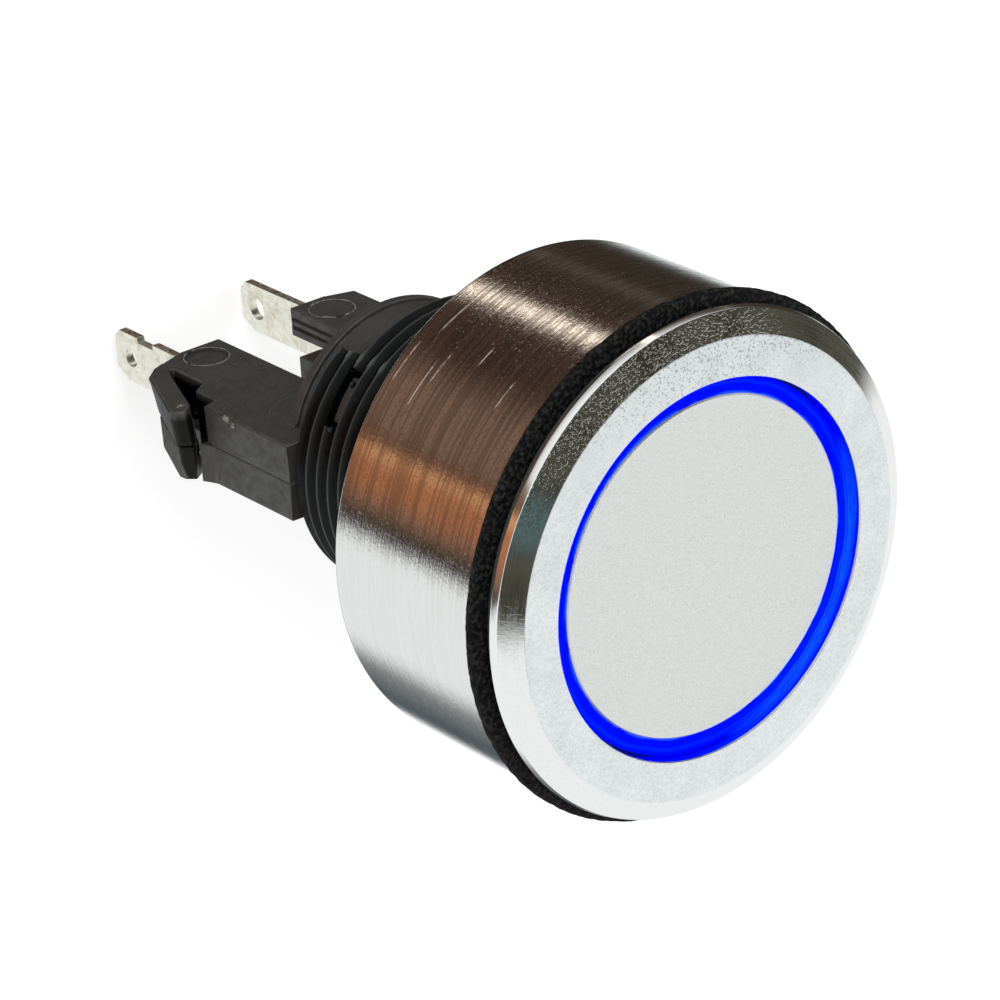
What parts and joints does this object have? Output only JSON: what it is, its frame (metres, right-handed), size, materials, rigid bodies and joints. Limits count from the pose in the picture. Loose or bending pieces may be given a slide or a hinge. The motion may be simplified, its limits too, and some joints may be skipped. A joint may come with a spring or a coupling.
{
  "type": "illuminated push button",
  "caption": "Illuminated arcade push button with metal bezel and press cap, blue lit ring, clamp collar, threaded body and a snap-in contact module with solder tabs",
  "frame": {"origin": "centre of the plane in which the gasket meets the panel's front surface", "axes": "+Z is the button's axis, out of its face toward the user; +X points to the arm that carries the latch; +Y completes a right-handed frame"},
  "size_m": [0.0458, 0.0458, 0.0744],
  "materials": {
    "bezel_metal": "matte face, polished bevel and rim",
    "cap_metal": "brushed",
    "lit_plastic": "translucent, lit from behind",
    "body_plastic": "moulded, slight gloss on the thread",
    "gasket_rubber": "matte",
    "collar_metal": "turned, polished",
    "spring_steel": "drawn wire",
    "board": "glass-fibre board with solder mask",
    "led_package": "moulded package",
    "resistor_body": "ceramic chip",
    "lead_wire": "tinned wire",
    "module_plastic": "moulded, matte",
    "tab_metal": "silver-plated, dull",
    "contact_silver": "silver alloy",
    "bridge_bronze": "rolled strip",
    "actuator_plastic": "moulded"
  },
  "bodies": {
    "housing": {"bezel": "bezel_metal", "threaded_body": "body_plastic", "panel_gasket": "gasket_rubber", "return_spring": "spring_steel", "lamp_board": "board", "lamp_leds": "led_package", "lamp_resistors": "resistor_body", "lamp_lead_common": "lead_wire", "lamp_lead_open": "lead_wire", "case_upper": "module_plastic", "case_lower": "module_plastic", "common_terminal": "tab_metal", "open_terminal": "tab_metal", "fixed_contacts": "contact_silver", "actuator_spring": "spring_steel"},
    "plunger": {"press_cap": "cap_metal", "light_guide": "lit_plastic"},
    "switch_slide": {"actuator": "actuator_plastic", "contact_bridge": "bridge_bronze", "bridge_contacts": "contact_silver"},
    "collar": {"clamp_collar": "collar_metal"}
  },
  "joints": [
    {"name": "press", "type": "slide", "parent": "housing", "child": "plunger", "axis": [0, 0, -1], "range_m": [0, 0.0013], "stiffness_N_per_m": 400, "springref_m": -0.004, "deforming": ["return_spring"]},
    {"name": "contact_slide", "type": "slide", "parent": "housing", "child": "switch_slide", "axis": [0, 0, -1], "range_m": [0, 0.00105], "deforming": ["actuator_spring"]},
    {"name": "collar_run", "type": "slide", "parent": "housing", "child": "collar", "axis": [0, 0, -1], "range_m": [0, 0.0165]}
  ],
  "couplings": [
    {"joint": "contact_slide", "follows": "press", "ratio": 0.80769}
  ]
}
